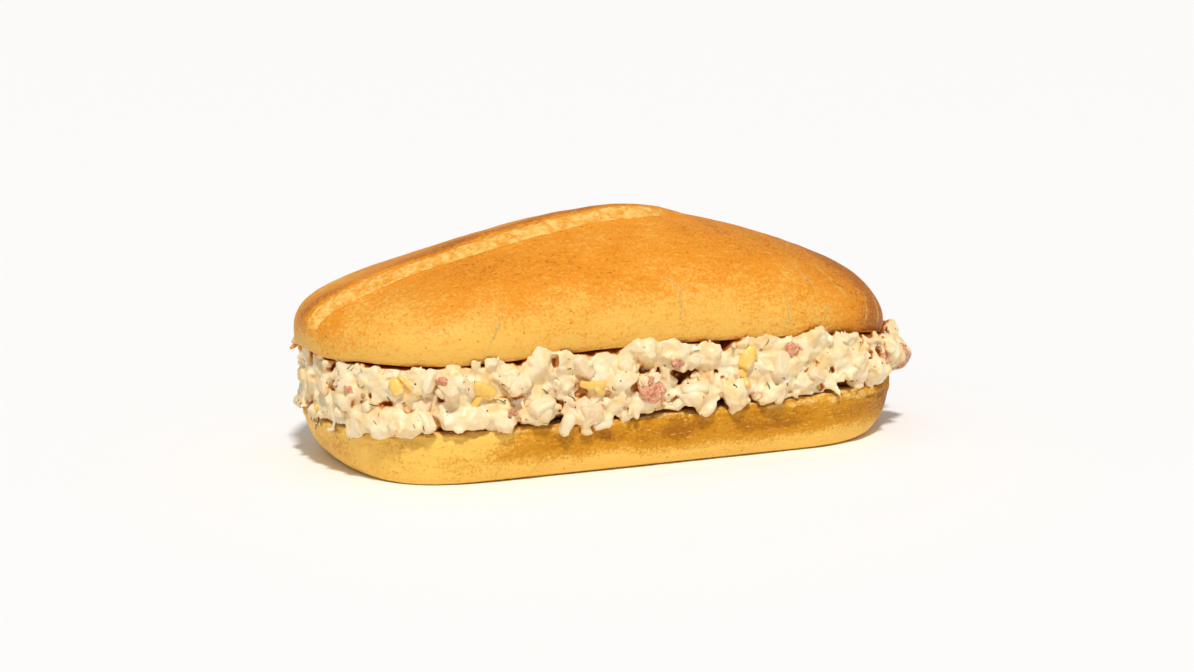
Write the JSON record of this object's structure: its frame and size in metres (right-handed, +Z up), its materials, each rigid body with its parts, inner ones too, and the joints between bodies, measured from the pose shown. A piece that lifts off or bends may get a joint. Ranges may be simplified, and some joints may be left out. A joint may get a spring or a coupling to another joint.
{
  "type": "chicken salad sub sandwich",
  "caption": "Soft scored sub roll split lengthways and filled with a thick layer of creamy chicken salad that bulges out of the split and spills at one end.",
  "frame": {"origin": "the middle of the sandwich's box, at the flat base it stands on", "axes": "+X along the roll towards the end where the filling spills out, +Y across the roll to the back, +Z up"},
  "size_m": [0.177, 0.0838, 0.0643],
  "materials": {
    "roll_crust": "soft baked bread crust, satin, golden brown on top fading to pale gold at the cut, with a pale scored band and fine wrinkles",
    "roll_crust_base": "soft baked bread crust, matt pale gold with toasted brown patches along the side and a pale crumb rim",
    "chicken_salad": "moist cream dressing over lumps of chicken, with bacon bits, cheese shreds, dill and pepper"
  },
  "bodies": {
    "root": {"crown": "roll_crust", "heel": "roll_crust_base", "chicken_salad": "chicken_salad"}
  },
  "joints": []
}
